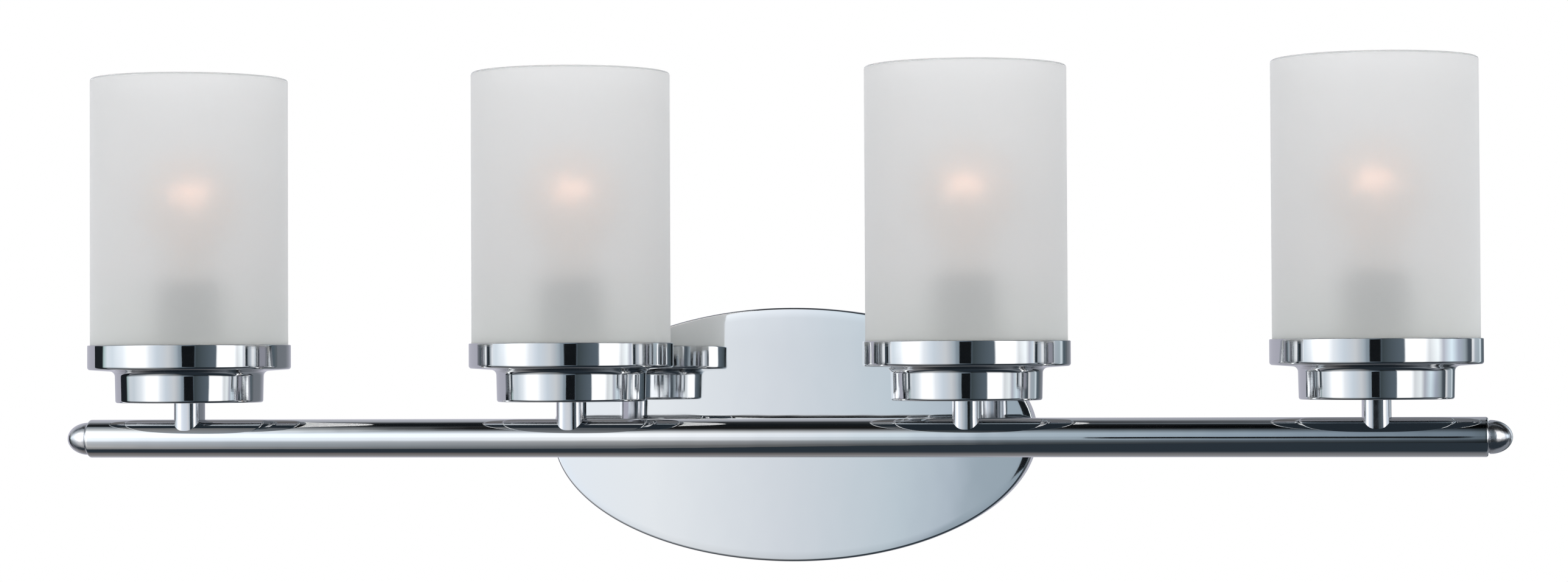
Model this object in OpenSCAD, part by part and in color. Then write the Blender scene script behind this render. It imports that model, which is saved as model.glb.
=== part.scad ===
// Vanity light bar: frosted cylinder shades standing in stepped chrome cups along one round bar,
// which two short arms hold out from an oval backplate.
// Frame: origin on the wall at the middle of the backplate, +X along the bar, +Y into the wall, +Z up.
// All lengths are millimetres. Z is measured from the bar's axis.

/* [Lamps] */
// Number of lamps along the bar
lamp_count = 4; // [2:1:4]
// Distance from one lamp to the next
lamp_pitch = 228; // [160:1:240]

/* [Glass shade] */
// Outer diameter of a shade
shade_d = 114.3; // [105:0.1:116]
// Thickness of the glass wall
shade_wall = 3; // [2.5:0.1:4]
// Height of the shade's rim above the bar's axis
shade_top_z = 210; // [195:1:240]

/* [Fitter cup] */
// Diameter of the cup's lower drum
drum_d = 85.6; // [70:0.1:90]
// Height of the drum's floor above the bar's axis
drum_floor_z = 21; // [18:0.5:24]
// Height of the lower drum, up to the step
drum_h = 18.2; // [17:0.1:19]
// Height of the upper band, from its lower corner to the lip
band_h = 14.2; // [12:0.1:18]
// Thickness of the spun metal
cup_wall = 1.1; // [0.8:0.1:1.4]

/* [Bar] */
// Outer diameter of the bar
bar_d = 22.2; // [21:0.1:26]
// Wall thickness of the bar's tube
bar_wall = 1.2; // [1:0.1:1.6]
// Tube length past the last lamp's axis
bar_overhang = 60.5; // [50:0.5:90]
// Distance from the wall to the bar's axis
bar_out = 112; // [100:1:130]
// Width of the lamp posts and diameter of the two arms
post_d = 16.2; // [14:0.1:17]
// Length of the flat flanks that make a lamp post deeper than it is wide
post_flat = 3.9; // [1:0.1:4]
// Length of each domed end past the tube
dome_len = 13.5; // [10:0.5:18]

/* [Backplate] */
// Width of the oval backplate
canopy_w = 290; // [250:1:320]
// Height of the oval backplate
canopy_h = 151; // [130:1:160]
// Depth of the backplate's pan
canopy_depth = 22; // [20:0.5:26]
// Thickness of the pan's sheet
canopy_wall = 1.2; // [1:0.1:1.6]
// Distance between the two arms
arm_pitch = 160; // [130:1:180]

/* [Mounting strap] */
// Distance between the two outlet-box slots
box_spacing = 88.9; // [88.9, 84]
// End-to-end length of each outlet-box slot
box_slot_len = 14; // [10:0.5:14]
// Width of each outlet-box slot
box_slot_w = 4.6; // [4.4:0.1:5]
// Distance between the two studs that hold the backplate
stud_spacing = 63.5; // [60:0.5:64]

/* [Hidden] */
$fn = 96;

LAMPS = [1:lamp_count];
SIDES = [["left", -1], ["right", 1]];
LAMP_NODES = ["glass_shade_", "shade_gasket_", "fitter_cup_", "lamp_post_", "socket_body_",
              "socket_contacts_", "retaining_ring_", "bulb_glass_", "bulb_base_", "filament_mount_"];

// Bar
bar_r = bar_d / 2;
bar_in_r = bar_r - bar_wall;
bar_half = (lamp_count - 1) * lamp_pitch / 2 + bar_overhang;
bar_edge_r = 1;
post_r = post_d / 2;
post_bore_r = 5;
dome_r = 9.45;
dome_groove_r = 8.9;
dome_groove_w = 0.8;
spigot_len = 9;

// Fitter cup
drum_r = drum_d / 2;
cup_gap = 0.45;
shade_r = shade_d / 2;
cup_in_r = shade_r + cup_gap;
cup_r = cup_in_r + cup_wall;
drum_top_z = drum_floor_z + drum_h;
under_rise = 1.1;
cup_top_z = drum_top_z + under_rise + band_h;
floor_round_r = 1.2;
neck_round_r = 3;
band_round_r = 1.6;
lip_round_r = 0.45;
neck_r = drum_r + neck_round_r;
under_end_r = cup_r - band_round_r;
under_slope = under_rise / (under_end_r - neck_r);

// Glass shade
seat_z = drum_top_z + 3.6;
shade_floor_t = 4;
shade_foot_round_r = 3;
shade_rim_round_r = 1.2;
shade_hole_r = 21;
gasket_in_r = drum_r + 5;
gasket_out_r = shade_r - 3.2;

// Lampholder and its ring
socket_r = 19.7;
socket_hub_r = 11;
socket_base_z = drum_floor_z + 7;
socket_web_z = drum_floor_z + 36;
socket_top_z = drum_floor_z + 71;
socket_bore_r = 14.6;
thread_pitch = 2.5;
thread_depth = 0.5;
thread_turns = 9;
ring_gap = 0.05;
ring_flange_r = 27;
ring_flange_t = 2.5;
ring_hub_r = 24;
ring_h = 9;
ring_grips = 12;
grip_r = 1.4;
shell_t = 0.95;
contact_r = 4.5;
contact_t = 3.5;

// Bulb, standing on its contact
tip_z = socket_web_z + contact_t + 0.5;
bulb_cap_r = 13.15;
bulb_thread_pitch = 3.63;
bulb_thread_depth = 0.8;
bulb_thread_turns = 6;
bulb_glass_z = tip_z + 30;
bulb_neck_r = 13.4;
bulb_r = 30;
bulb_centre_z = bulb_glass_z + 48;
bulb_glass_t = 0.8;
filament_z = tip_z + 82;

// Backplate, nipples, nuts, strap and studs
canopy_edge_r = 2;
nipple_r = 4.85;
nipple_bore_r = 3.2;
nipple_fit = 0.05;
lamp_nipple_z0 = bar_in_r + 0.2;
lamp_nipple_z1 = socket_base_z + 8;
arm_nipple_y0 = 36;
arm_nipple_y1 = 13;
nut_af_r = 8.1;
nut_t = 4;
arm_collar_r = 10;
arm_collar_t = 4;
strap_len = 112;
strap_h = 22;
strap_t = 2;
stud_r = 2.1;
stud_fit = 0.05;
stud_tip_y = canopy_depth + 8;
stud_nut_r = 4.2;
stud_nut_t = 3.2;
stud_hole_r = 2.6;
cap_nut_r = 6.2;
cap_nut_hex_h = 5.5;
cap_nut_dome_r = 5.3;
ground_x = 14;

// Wires
wire_r = 1;
wire_off = 1.5;
lead_y = 11;
lead_z = 34;
lead_end_x = -30;
connector_len = 20;
connector_r = 5;
connector_hollow = 6;
wire_end_x = -lead_end_x + connector_len - connector_hollow + 1.2;

function lamp_x(i) = (i - (lamp_count + 1) / 2) * lamp_pitch;
function arc(cx, cy, r, a0, a1, n = 8) =
    [for (k = [0:n]) [cx + r * cos(a0 + (a1 - a0) * k / n), cy + r * sin(a0 + (a1 - a0) * k / n)]];
function bezier(p0, p1, p2, p3, n = 10) =
    [for (k = [0:n]) let (t = k / n, s = 1 - t)
        s * s * s * p0 + 3 * s * s * t * p1 + 3 * s * t * t * p2 + t * t * t * p3];
function reversed(points) = [for (k = [len(points) - 1:-1:0]) points[k]];
function under_z(r) = drum_top_z + (r - neck_r) * under_slope;

module at_lamp(i) {
    translate([lamp_x(i), -bar_out, 0]) children();
}

// Turns a shape that points along +Z so that it points out of the wall, along -Y
module from_wall(x = 0, z = 0) {
    translate([x, 0, z]) rotate([90, 0, 0]) children();
}

module bar_solid(r) {
    translate([0, -bar_out, 0]) rotate([0, 90, 0]) cylinder(r = r, h = 2 * bar_half, center = true);
}

module hex(r, h) {
    cylinder(r = r, h = h, $fn = 6);
}

// ---- Lamps ----

module glass_shade(i) {
    in_r = shade_r - shade_wall;
    foot = shade_foot_round_r;
    rim = shade_rim_round_r;
    color([0.90, 0.91, 0.91]) at_lamp(i) rotate_extrude() polygon(concat(
        [[shade_hole_r, seat_z]],
        arc(shade_r - foot, seat_z + foot, foot, -90, 0),
        arc(shade_r - rim, shade_top_z - rim, rim, 0, 90),
        arc(in_r + rim, shade_top_z - rim, rim, 90, 180),
        arc(in_r - 2, seat_z + shade_floor_t + 2, 2, 0, -90),
        [[shade_hole_r, seat_z + shade_floor_t]]));
}

module shade_gasket(i) {
    color([0.12, 0.12, 0.12]) at_lamp(i) rotate_extrude() polygon([
        [gasket_in_r, under_z(gasket_in_r) + cup_wall],
        [gasket_out_r, under_z(gasket_out_r) + cup_wall],
        [gasket_out_r, seat_z],
        [gasket_in_r, seat_z]]);
}

module fitter_cup(i) {
    in_drum_r = drum_r - cup_wall;
    in_neck = neck_round_r + cup_wall;
    color([0.78, 0.80, 0.83]) at_lamp(i) rotate_extrude() polygon(concat(
        [[nipple_r + nipple_fit, drum_floor_z]],
        arc(drum_r - floor_round_r, drum_floor_z + floor_round_r, floor_round_r, -90, 0),
        arc(neck_r, drum_top_z - neck_round_r, neck_round_r, 180, 90),
        arc(under_end_r, under_z(under_end_r) + band_round_r, band_round_r, -90, 0),
        arc(cup_r - lip_round_r, cup_top_z - lip_round_r, lip_round_r, 0, 90),
        [[cup_in_r, cup_top_z]],
        [[cup_in_r, under_z(cup_in_r) + cup_wall]],
        [[neck_r, drum_top_z + cup_wall]],
        arc(neck_r, drum_top_z - neck_round_r, in_neck, 90, 180),
        [[in_drum_r, drum_floor_z + cup_wall]],
        [[nipple_r + nipple_fit, drum_floor_z + cup_wall]]));
}

// A post with flat flanks, whose round front and back come down over the bar like a saddle
module lamp_post(i) {
    color([0.76, 0.78, 0.80]) difference() {
        at_lamp(i) {
            for (dir = [-1, 1])
                translate([0, dir * post_flat / 2, 0]) cylinder(r = post_r, h = drum_floor_z);
            translate([-post_r, -post_flat / 2, 0]) cube([post_d, post_flat, drum_floor_z]);
        }
        bar_solid(bar_r);
        at_lamp(i) cylinder(r = post_bore_r, h = drum_floor_z + 1);
    }
}

module socket_body(i) {
    z0 = seat_z + 1;
    color([0.93, 0.92, 0.88]) at_lamp(i) difference() {
        rotate_extrude() polygon(concat(
            [[nipple_r + nipple_fit, socket_base_z], [socket_hub_r, socket_base_z]],
            [[socket_hub_r, socket_base_z + 6], [socket_r - 3, socket_base_z + 11]],
            [[socket_r, z0]],
            [for (k = [0:thread_turns - 1], step = [0.4, 0.7, 1])
                [step == 0.7 ? socket_r - thread_depth : socket_r, z0 + (k + step) * thread_pitch]],
            arc(socket_r - 2, socket_top_z - 2, 2, 0, 90),
            [[socket_bore_r, socket_top_z], [socket_bore_r, socket_web_z]],
            [[0, socket_web_z], [0, lamp_nipple_z1], [nipple_r + nipple_fit, lamp_nipple_z1]]));
        for (side = [-1, 1])
            translate([0, side * wire_off, lamp_nipple_z1 - 1])
                cylinder(r = wire_r + 0.2, h = socket_web_z - lamp_nipple_z1 + 2);
    }
}

module socket_contacts(i) {
    shell_r = socket_bore_r - 0.05;
    color([0.80, 0.66, 0.36]) at_lamp(i) {
        translate([0, 0, socket_web_z]) difference() {
            cylinder(r = contact_r, h = contact_t);
            translate([0, 0, -1]) cylinder(r = contact_r - 1.2, h = contact_t);
        }
        translate([0, 0, socket_web_z + 5]) difference() {
            cylinder(r = shell_r, h = 25);
            translate([0, 0, -1]) cylinder(r = shell_r - shell_t, h = 27);
        }
    }
}

module retaining_ring(i) {
    z0 = seat_z + shade_floor_t;
    bore = socket_r + ring_gap;
    color([0.92, 0.91, 0.88]) at_lamp(i) translate([0, 0, z0]) difference() {
        union() {
            cylinder(r = ring_flange_r, h = ring_flange_t);
            cylinder(r = ring_hub_r, h = ring_h);
        }
        translate([0, 0, -1]) cylinder(r = bore, h = ring_h + 2);
        for (k = [0:ring_grips - 1])
            rotate([0, 0, 360 * k / ring_grips]) translate([ring_hub_r, 0, ring_flange_t])
                cylinder(r = grip_r, h = ring_h);
    }
}

// Half section of the bulb's envelope, at a distance in from its outside
function bulb_side(inset) =
    let (a = -38, c = bulb_centre_z, r = bulb_r, neck = bulb_neck_r,
         shoulder = [r * cos(a), c + r * sin(a)], slope = [-sin(a), cos(a)])
    concat(
        reversed(bezier(shoulder + inset * [-cos(a), -sin(a)],
                        shoulder + inset * [-cos(a), -sin(a)] - 14 * slope,
                        [neck - inset, bulb_glass_z + 14], [neck - inset, bulb_glass_z])),
        arc(0, c, r - inset, a, 90, 20));

module bulb_glass(i) {
    color([0.97, 0.94, 0.88]) at_lamp(i) rotate_extrude()
        polygon(concat(bulb_side(0), reversed(bulb_side(bulb_glass_t))));
}

module bulb_base(i) {
    thread_z = tip_z + 6;
    color([0.72, 0.72, 0.70]) at_lamp(i) rotate_extrude() polygon(concat(
        [[0, tip_z], [contact_r, tip_z], [contact_r + 0.5, tip_z + 1.4]],
        [[bulb_cap_r - 2.5, tip_z + 5], [bulb_cap_r - bulb_thread_depth, thread_z]],
        [for (k = [0:bulb_thread_turns - 1], step = [0.25, 0.5, 0.75, 1])
            [bulb_cap_r - (step == 0.5 ? 0 : step == 1 ? bulb_thread_depth : bulb_thread_depth * 0.4),
             thread_z + (k + step) * bulb_thread_pitch]],
        [[bulb_neck_r, bulb_glass_z - 1.6], [bulb_neck_r, bulb_glass_z], [0, bulb_glass_z]]));
}

// Glass stem, two support wires leaning outwards and the filament between their tips
module filament_mount(i) {
    stem_h = 20;
    foot = 2.5;
    reach = 9;
    lead_r = 0.5;
    wire_z = bulb_glass_z + stem_h - 3;
    rise = filament_z - wire_z;
    color([0.95, 0.80, 0.50]) at_lamp(i) {
        translate([0, 0, bulb_glass_z]) cylinder(r1 = 5, r2 = 4, h = stem_h);
        for (side = [-1, 1])
            translate([side * foot, 0, wire_z]) rotate([0, side * atan2(reach - foot, rise), 0])
                cylinder(r = lead_r, h = norm([reach - foot, rise]));
        translate([-reach - 1, 0, filament_z]) rotate([0, 90, 0]) cylinder(r = 0.8, h = 2 * reach + 2);
    }
}

// ---- Bar, arms and their fasteners ----

module bar_tube() {
    e = bar_edge_r;
    color([0.77, 0.79, 0.82]) difference() {
        translate([0, -bar_out, 0]) rotate([0, 90, 0]) rotate_extrude() polygon(concat(
            [[bar_in_r, -bar_half]],
            arc(bar_r - e, -bar_half + e, e, -90, 0),
            arc(bar_r - e, bar_half - e, e, 0, 90),
            [[bar_in_r, bar_half]]));
        for (i = LAMPS)
            at_lamp(i) cylinder(r = post_bore_r, h = bar_r + 1);
        for (side = SIDES)
            from_wall(side[1] * arm_pitch / 2) translate([0, 0, bar_out - bar_r - 1])
                cylinder(r = post_bore_r, h = bar_r);
    }
}

// Bullet-shaped end with a spigot that plugs the tube
module end_cap(dir) {
    d0 = dome_groove_w;
    color([0.74, 0.76, 0.78]) translate([dir * bar_half, -bar_out, 0]) rotate([0, dir * 90, 0])
        rotate_extrude() polygon(concat(
            [[0, -spigot_len], [bar_in_r - 0.05, -spigot_len], [bar_in_r - 0.05, 0]],
            [[dome_groove_r, 0], [dome_groove_r, d0]],
            [for (a = [0:7.5:90]) [dome_r * cos(a), d0 + (dome_len - d0) * sin(a)]]));
}

module arm(dir) {
    span = bar_out - canopy_depth;
    color([0.76, 0.78, 0.80]) difference() {
        from_wall(dir * arm_pitch / 2) translate([0, 0, canopy_depth]) {
            cylinder(r = post_r, h = span);
            cylinder(r = arm_collar_r, h = arm_collar_t - 1);
            translate([0, 0, arm_collar_t - 1]) cylinder(r1 = arm_collar_r, r2 = arm_collar_r - 1, h = 1);
        }
        bar_solid(bar_r);
        from_wall(dir * arm_pitch / 2) cylinder(r = post_bore_r, h = bar_out);
    }
}

module threaded_nipple(len) {
    difference() {
        cylinder(r = nipple_r, h = len);
        translate([0, 0, -1]) cylinder(r = nipple_bore_r, h = len + 2);
    }
}

module threaded_nipples() {
    color([0.75, 0.65, 0.42]) {
        for (i = LAMPS)
            at_lamp(i) translate([0, 0, lamp_nipple_z0]) threaded_nipple(lamp_nipple_z1 - lamp_nipple_z0);
        for (side = SIDES)
            from_wall(side[1] * arm_pitch / 2) translate([0, 0, arm_nipple_y1])
                threaded_nipple(arm_nipple_y0 - arm_nipple_y1);
    }
}

module lock_nut() {
    difference() {
        hex(nut_af_r, nut_t);
        translate([0, 0, -1]) cylinder(r = nipple_r + nipple_fit, h = nut_t + 2);
    }
}

module lock_nuts() {
    color([0.72, 0.72, 0.70]) {
        for (i = LAMPS)
            at_lamp(i) translate([0, 0, drum_floor_z + cup_wall]) lock_nut();
        for (side = SIDES)
            from_wall(side[1] * arm_pitch / 2) translate([0, 0, canopy_depth - canopy_wall - nut_t])
                lock_nut();
    }
}

// ---- Backplate and its mounting ----

// Ring of points round the oval, where inset draws it in and y is the distance from the wall
function oval(inset, y, n = 96) =
    [for (k = [0:n - 1])
        [(canopy_w / 2 - inset) * cos(360 * k / n), -y, (canopy_h / 2 - inset) * sin(360 * k / n)]];

module canopy_pan() {
    n = 96;
    r = canopy_edge_r;
    t = canopy_wall;
    steps = [for (a = [90:-22.5:0]) a];
    outer = [for (a = steps) [r - r * sin(a), canopy_depth - r + r * cos(a)]];
    inner = [for (a = reversed(steps)) [r - (r - t) * sin(a), canopy_depth - r + (r - t) * cos(a)]];
    section = concat([[0, 0]], outer, inner, [[t, 0]]);
    rows = len(section);
    front = len(outer);
    points = [for (s = section) each oval(s[0], s[1], n)];
    side_faces = [for (j = [0:rows - 1], k = [0:n - 1]) if (j != front)
        let (j2 = (j + 1) % rows, k2 = (k + 1) % n) [j * n + k, j * n + k2, j2 * n + k2, j2 * n + k]];
    front_face = [for (k = [0:n - 1]) front * n + k];
    back_face = [for (k = [n - 1:-1:0]) (front + 1) * n + k];
    polyhedron(points, concat(side_faces, [front_face, back_face]), convexity = 4);
}

module canopy() {
    color([0.74, 0.79, 0.84]) difference() {
        canopy_pan();
        for (dir = [-1, 1]) {
            from_wall(dir * stud_spacing / 2) cylinder(r = stud_hole_r, h = canopy_depth + 1);
            from_wall(dir * arm_pitch / 2) cylinder(r = nipple_r + nipple_fit, h = canopy_depth + 1);
        }
    }
}

module mounting_strap() {
    color([0.70, 0.71, 0.72]) difference() {
        from_wall() intersection() {
            translate([-strap_len / 2, -strap_h / 2, 0]) cube([strap_len, strap_h, strap_t]);
            cylinder(r = strap_len / 2, h = strap_t);
        }
        for (dir = [-1, 1]) {
            for (end = [-1, 1])
                from_wall(dir * box_spacing / 2 + end * (box_slot_len - box_slot_w) / 2)
                    translate([0, 0, -1]) cylinder(d = box_slot_w, h = strap_t + 2);
            translate([dir * box_spacing / 2, -strap_t / 2, 0])
                cube([box_slot_len - box_slot_w, strap_t + 2, box_slot_w], center = true);
            from_wall(dir * stud_spacing / 2) translate([0, 0, -1])
                cylinder(r = stud_r + stud_fit, h = strap_t + 2);
        }
        from_wall(ground_x) translate([0, 0, -1]) cylinder(r = stud_r + stud_fit, h = strap_t + 2);
    }
}

module studs() {
    color([0.75, 0.75, 0.73]) for (dir = [-1, 1])
        from_wall(dir * stud_spacing / 2) cylinder(r = stud_r, h = stud_tip_y);
}

module stud_nuts() {
    color([0.70, 0.70, 0.69]) for (dir = [-1, 1])
        from_wall(dir * stud_spacing / 2) translate([0, 0, strap_t]) difference() {
            hex(stud_nut_r, stud_nut_t);
            translate([0, 0, -1]) cylinder(r = stud_r + stud_fit, h = stud_nut_t + 2);
        }
}

module cap_nut(dir) {
    color([0.78, 0.80, 0.82]) from_wall(dir * stud_spacing / 2) translate([0, 0, canopy_depth])
        difference() {
            union() {
                hex(cap_nut_r, cap_nut_hex_h);
                translate([0, 0, cap_nut_hex_h]) rotate_extrude() polygon(concat(
                    [[0, 0]], [for (a = [0:10:90]) [cap_nut_dome_r * cos(a), cap_nut_dome_r * sin(a)]]));
            }
            translate([0, 0, -1]) cylinder(r = stud_r + stud_fit, h = stud_tip_y - canopy_depth + 1.5);
        }
}

module ground_screw() {
    color([0.15, 0.50, 0.25]) from_wall(ground_x) {
        cylinder(r = stud_r, h = strap_t + 2);
        translate([0, 0, strap_t]) cylinder(r = 4.6, h = 1);
        translate([0, 0, strap_t + 1]) hex(3.9, 2.4);
    }
}

// ---- Wires ----

// Straight wire between two points that differ along one axis only, with round ends
module wire(a, b) {
    d = b - a;
    translate(a) rotate([0, acos(d[2] / norm(d)), atan2(d[1], d[0])]) cylinder(r = wire_r, h = norm(d));
    for (p = [a, b]) translate(p) sphere(r = wire_r, $fn = 24);
}

// One run along the bar, a riser to each lampholder, and a tail through the left arm to its connector
module leads(dir) {
    off = dir * wire_off;
    y = -bar_out + off;
    arm_x = -arm_pitch / 2;
    wire([lamp_x(1), y, off], [lamp_x(lamp_count), y, off]);
    for (i = LAMPS)
        wire([lamp_x(i), y, off], [lamp_x(i), y, socket_web_z]);
    wire([arm_x, y, off], [arm_x, -lead_y, off]);
    wire([arm_x, -lead_y, off], [arm_x, -lead_y, dir * lead_z]);
    wire([arm_x, -lead_y, dir * lead_z], [-wire_end_x, -lead_y, dir * lead_z]);
}

module hot_leads() {
    color([0.08, 0.08, 0.08]) leads(1);
}

module neutral_leads() {
    color([0.92, 0.92, 0.90]) leads(-1);
}

// From under the right arm's lock nut to its own connector
module ground_lead() {
    x = arm_pitch / 2;
    nut_y = canopy_depth - canopy_wall - nut_t;
    eye_z = 6.5;
    color([0.20, 0.55, 0.25]) {
        from_wall(x) translate([0, 0, nut_y - 1]) difference() {
            cylinder(r = 8, h = 1);
            translate([0, 0, -1]) cylinder(r = nipple_r + nipple_fit, h = 3);
        }
        wire([x, -nut_y + 1.1, eye_z], [x, -lead_y, eye_z]);
        wire([x, -lead_y, eye_z], [x, -lead_y, lead_z]);
        wire([x, -lead_y, lead_z], [wire_end_x, -lead_y, lead_z]);
    }
}

module wire_connector() {
    difference() {
        cylinder(r1 = connector_r, r2 = connector_r - 1.5, h = connector_len);
        translate([0, 0, -1]) cylinder(r = connector_r - 1.2, h = connector_hollow + 1);
    }
}

module wire_connectors() {
    color([0.85, 0.45, 0.15]) {
        for (dir = [-1, 1])
            translate([lead_end_x - connector_len, -lead_y, dir * lead_z]) rotate([0, 90, 0])
                wire_connector();
        translate([-lead_end_x + connector_len, -lead_y, lead_z]) rotate([0, -90, 0]) wire_connector();
    }
}

// ---- One line for each node ----

for (i = LAMPS) {
    glass_shade(i);
    shade_gasket(i);
    fitter_cup(i);
    lamp_post(i);
    socket_body(i);
    socket_contacts(i);
    retaining_ring(i);
    bulb_glass(i);
    bulb_base(i);
    filament_mount(i);
}
for (side = SIDES) {
    end_cap(side[1]);
    arm(side[1]);
    cap_nut(side[1]);
}
bar_tube();
canopy();
threaded_nipples();
lock_nuts();
mounting_strap();
studs();
stud_nuts();
ground_screw();
hot_leads();
neutral_leads();
ground_lead();
wire_connectors();
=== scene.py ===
"""Vanity light bar: frosted cylinders in stepped chrome cups on a round bar, held off an oval backplate.

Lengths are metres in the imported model's frame: origin on the wall behind the middle of the backplate,
+X along the bar, +Y into the wall, +Z up. Small sizes are written in millimetres times MM.
"""
import math

import bmesh
import bpy
from mathutils import Euler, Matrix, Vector, noise


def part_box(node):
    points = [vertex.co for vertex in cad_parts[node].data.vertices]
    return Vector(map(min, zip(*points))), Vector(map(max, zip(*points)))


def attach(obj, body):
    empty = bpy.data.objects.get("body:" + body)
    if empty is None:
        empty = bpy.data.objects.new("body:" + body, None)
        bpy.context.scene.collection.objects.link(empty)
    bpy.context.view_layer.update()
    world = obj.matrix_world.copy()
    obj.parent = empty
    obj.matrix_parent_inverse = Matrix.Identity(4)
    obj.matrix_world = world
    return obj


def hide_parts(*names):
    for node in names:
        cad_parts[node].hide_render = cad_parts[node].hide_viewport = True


MM = 0.001
TAU = 2 * math.pi
UP = (0, 0, 1)
OUT_OF_WALL = (0, -1, 0)
INTO_WALL = (0, 1, 0)

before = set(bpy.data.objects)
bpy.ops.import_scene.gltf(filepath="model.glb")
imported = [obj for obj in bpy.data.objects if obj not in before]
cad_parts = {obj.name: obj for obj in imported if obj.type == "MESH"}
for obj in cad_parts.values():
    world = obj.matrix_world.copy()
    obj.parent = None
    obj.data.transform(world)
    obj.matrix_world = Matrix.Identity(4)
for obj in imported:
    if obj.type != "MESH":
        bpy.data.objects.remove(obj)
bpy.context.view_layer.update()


# ---- Places, all read from the frame ----

def middle(node):
    low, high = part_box(node)
    return (low + high) / 2


def half_width(node):
    low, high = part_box(node)
    return (high.x - low.x) / 2


def heights(node):
    return tuple(corner.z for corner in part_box(node))


SHADE_LOW, SHADE_HIGH = heights("glass_shade_1")
BAR_AXIS = middle("bar_tube")
BAR_R = (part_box("bar_tube")[1].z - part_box("bar_tube")[0].z) / 2
BAR_HALF = half_width("bar_tube")
LAMPS = sorted(int(name.rsplit("_", 1)[1]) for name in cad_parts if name.startswith("glass_shade_"))
SIDES = {"left": -1, "right": 1}


def lamp_foot(i):
    """Where a lamp's axis crosses the bar's axis."""
    return Vector((middle(f"glass_shade_{i}").x, BAR_AXIS.y, BAR_AXIS.z))


def lamp_axis(i):
    """The same place at height zero, for outlines that hold real heights."""
    return (*lamp_foot(i).xy, 0)


def linked(name, data):
    """A new object in the scene."""
    made = bpy.data.objects.new(name, data)
    bpy.context.scene.collection.objects.link(made)
    return made


# ---- Camera, at the photograph's viewing angle ----

def add_camera():
    data = bpy.data.cameras.new("camera")
    data.sensor_width = 36
    data.lens = 79.4
    camera = linked("camera", data)
    camera.location = (0.310, BAR_AXIS.y - 1.946, 0.0424)
    camera.rotation_euler = Euler((math.radians(90 + 1.197), math.radians(0.264), math.radians(8.772)))
    bpy.context.scene.camera = camera


# ---- Outlines and solids ----

def arc(centre, radius, start, end, steps=8):
    """Points on an arc in (radius, height), with its angles in degrees."""
    turns = [math.radians(start + (end - start) * k / steps) for k in range(steps + 1)]
    return [(centre[0] + radius * math.cos(t), centre[1] + radius * math.sin(t)) for t in turns]


def dome(radius, low, high, start, step):
    """Points up an oval dome to its tip on the axis, from an angle in degrees."""
    turns = [math.radians(a) for a in range(start, 90, step)]
    return [(radius * math.cos(t), low + (high - low) * math.sin(t)) for t in turns] + [(0, high)]


def bezier(p0, p1, p2, p3, steps=16):
    points = []
    for k in range(steps + 1):
        t = k / steps
        s = 1 - t
        weights = (s * s * s, 3 * s * s * t, 3 * s * t * t, t * t * t)
        points.append(tuple(sum(w * p[n] for w, p in zip(weights, (p0, p1, p2, p3))) for n in (0, 1)))
    return points


def rounded(*corners, steps=6):
    """A closed outline through (x, y, rounding radius) corners."""
    points = []
    for k, (x, y, radius) in enumerate(corners):
        here = Vector((x, y))
        if radius == 0:
            points.append((x, y))
            continue
        before = (Vector(corners[k - 1][:2]) - here).normalized()
        after = (Vector(corners[(k + 1) % len(corners)][:2]) - here).normalized()
        half = before.angle(after) / 2
        centre = here + (before + after).normalized() * radius / math.sin(half)
        start = here + before * radius / math.tan(half) - centre
        sweep = start.angle_signed(here + after * radius / math.tan(half) - centre)
        for step in range(steps + 1):
            turn = -sweep * step / steps
            points.append((centre.x + start.x * math.cos(turn) - start.y * math.sin(turn),
                           centre.y + start.x * math.sin(turn) + start.y * math.cos(turn)))
    return points


def guarded(points, guard=0.25 * MM):
    """Adds a point near both ends of each long straight stretch, so that flat walls shade flat."""
    out = []
    for k, here in enumerate(points):
        there = points[(k + 1) % len(points)]
        out.append(here)
        length = math.dist(here, there)
        if length > 4 * guard:
            for share in (guard / length, 1 - guard / length):
                out.append(tuple(a + (b - a) * share for a, b in zip(here, there)))
    return out


def climb(radius, low, high, rows):
    """A straight run of points up a wall, for a thread or another cut to work on."""
    return [(radius, low + (high - low) * k / rows) for k in range(rows + 1)]


def skirt(first, second, steps):
    """The faces between two rings of points, each given by the number of its first vertex."""
    pairs = [(k, (k + 1) % steps) for k in range(steps)]
    return [(first + k, first + after, second + after, second + k) for k, after in pairs]


def solid(name, vertices, faces, materials, paint=None, sharp=32):
    """A mesh object with smooth faces, and sharp edges past an angle in degrees."""
    mesh = bpy.data.meshes.new(name)
    mesh.from_pydata([tuple(v) for v in vertices], [], faces)
    for material in materials:
        mesh.materials.append(material)
    if paint:
        mesh.polygons.foreach_set("material_index", paint)
    work = bmesh.new()
    work.from_mesh(mesh)
    bmesh.ops.recalc_face_normals(work, faces=work.faces)
    work.to_mesh(mesh)
    work.free()
    mesh.shade_smooth()
    mesh.set_sharp_from_angle(angle=math.radians(sharp))
    return linked(name, mesh)


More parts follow.
